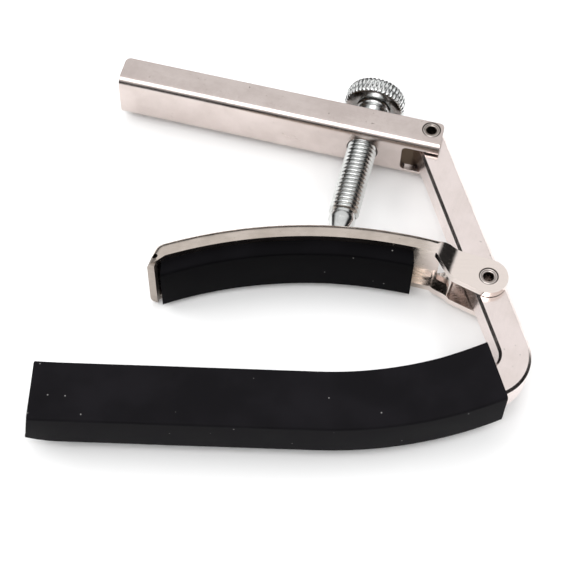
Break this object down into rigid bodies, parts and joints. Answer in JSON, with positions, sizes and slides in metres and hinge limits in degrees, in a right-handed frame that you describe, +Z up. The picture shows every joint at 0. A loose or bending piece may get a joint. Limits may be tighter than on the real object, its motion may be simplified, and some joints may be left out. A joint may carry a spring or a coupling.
{
  "type": "guitar capo",
  "caption": "Lever-lock guitar capo: a bent bar with a rubber-sleeved fretboard arm, a padded curved neck arm, and a channel lever whose thumb screw presses the neck arm.",
  "frame": {"origin": "centre of the bounding box at its lowest level: the capo lies on its side and the level is the underside of the cradle channel", "axes": "+X along the straight fretboard arm towards the bent corner, +Y from the fretboard arm towards the lever, +Z up along both pin axes"},
  "size_m": [0.0759, 0.0685, 0.0115],
  "materials": {
    "nickel_bar": "satin nickel plate",
    "nickel_sheet": "satin nickel plate",
    "nickel_cradle": "lengthwise brushed nickel plate",
    "nickel_rivet": "polished nickel plate",
    "bright_screw": "bright zinc plate",
    "black_rubber": "matte"
  },
  "bodies": {
    "frame": {"frame_bar": "nickel_bar", "fretboard_sleeve": "black_rubber"},
    "lever": {"lever_channel": "nickel_sheet", "threaded_bush": "nickel_sheet", "lever_rivet": "nickel_rivet", "spacer_washers": "nickel_rivet"},
    "cradle": {"cradle_channel": "nickel_cradle", "neck_pad": "black_rubber", "cradle_rivet": "nickel_rivet"},
    "tip": {"screw_tip": "bright_screw"},
    "thumb_screw": {"screw_shank": "bright_screw", "screw_knob": "bright_screw"}
  },
  "joints": [
    {"name": "lever_hinge", "type": "hinge", "parent": "frame", "child": "lever", "pos_m": [0.0232, 0.02116, 0.00575], "axis": [0, 0, -1], "range_deg": [0, 105]},
    {"name": "cradle_hinge", "type": "hinge", "parent": "frame", "child": "cradle", "pos_m": [0.03168, -0.00657, 0.00575], "axis": [0, 0, -1], "range_deg": [0, 18.9]},
    {"name": "screw_feed", "type": "slide", "parent": "lever", "child": "tip", "axis": [0.2181, 0.9759, 0], "range_m": [0, 0.008]},
    {"name": "screw_turn", "type": "hinge", "parent": "tip", "child": "thumb_screw", "pos_m": [0.01271, 0.0235, 0.00575], "axis": [0.2181, 0.9759, 0], "range_deg": [0, 3600.1]}
  ],
  "couplings": [
    {"joint": "cradle_hinge", "follows": "lever_hinge", "ratio": 0.18},
    {"joint": "screw_turn", "follows": "screw_feed", "rad_per_m": 7854}
  ]
}
